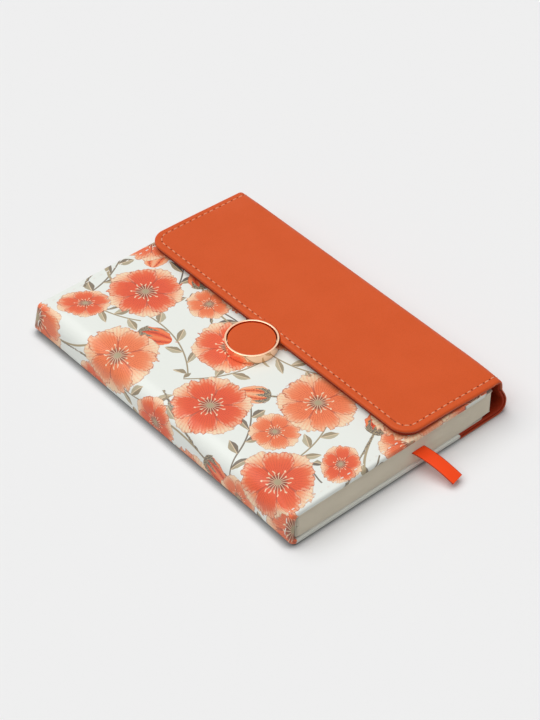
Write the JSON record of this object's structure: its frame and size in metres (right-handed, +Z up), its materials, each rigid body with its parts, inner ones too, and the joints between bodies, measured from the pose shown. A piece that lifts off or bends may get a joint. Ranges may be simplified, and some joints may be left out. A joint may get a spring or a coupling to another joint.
{
  "type": "pocket notebook",
  "caption": "Pocket notebook with a printed hard cover, a leather wrap that folds over the fore-edge as a flap, a round magnetic button and a ribbon marker.",
  "frame": {"origin": "on the table under the middle of the closed notebook, on the underside of its back cover", "axes": "+X from the spine to the fore-edge, +Y from the tail to the head of the page block, +Z up from the back cover to the flap"},
  "size_m": [0.1088, 0.166, 0.0206],
  "materials": {
    "print": "satin printed sheet, off-white ground",
    "board": "matte grey-brown bookboard",
    "paper": "matte cream paper",
    "gauze": "matte gauze",
    "ribbon": "satin weave, orange-red",
    "leather": "satin smooth leather, orange",
    "lining": "matte suede-like lining, dark orange",
    "thread": "satin waxed thread, pale peach",
    "cover_thread": "satin thread, off-white",
    "gold": "polished, rose-gold plating",
    "steel": "satin steel"
  },
  "bodies": {
    "book": {"printed_cover": "print", "front_board": "board", "back_board": "board", "spine_card": "board", "catch_plate": "steel", "back_pastedown": "paper", "back_flyleaf": "paper", "front_flyleaf": "paper", "front_pastedown": "paper", "signature_1": "paper", "signature_2": "paper", "signature_3": "paper", "signature_4": "paper", "signature_5": "paper", "signature_6": "paper", "signature_7": "paper", "signature_8": "paper", "spine_lining": "gauze", "ribbon_inner": "ribbon", "back_leather": "leather", "back_lining": "lining", "cover_stitching_tail": "cover_thread", "cover_stitching_head": "cover_thread"},
    "gusset": {"gusset_leather": "leather", "gusset_lining": "lining", "gusset_stitching_tail": "thread", "gusset_stitching_head": "thread"},
    "flap": {"flap_leather": "leather", "flap_board": "board", "flap_lining": "lining", "flap_stitching_tail": "thread", "flap_stitching_head": "thread", "button_rivet_1": "steel", "button_rivet_2": "steel", "button_cup": "gold", "button_magnet": "steel", "button_inset": "leather", "button_base": "gold"},
    "ribbon": {"ribbon_tail": "ribbon"}
  },
  "joints": [
    {"name": "gusset_hinge", "type": "hinge", "parent": "book", "child": "gusset", "pos_m": [0.0524, 0, 0.00195], "axis": [0, 1, 0], "range_deg": [0, 87]},
    {"name": "flap_hinge", "type": "hinge", "parent": "gusset", "child": "flap", "pos_m": [0.0487, 0, 0.0162], "axis": [0, 1, 0], "range_deg": [0, 94]},
    {"name": "ribbon_hinge", "type": "hinge", "parent": "book", "child": "ribbon", "pos_m": [0.0081, -0.0744, 0.00805], "axis": [-0.9744, -0.225, 0], "range_deg": [-8, 60], "stiffness_Nm_per_rad": 0.0002}
  ]
}
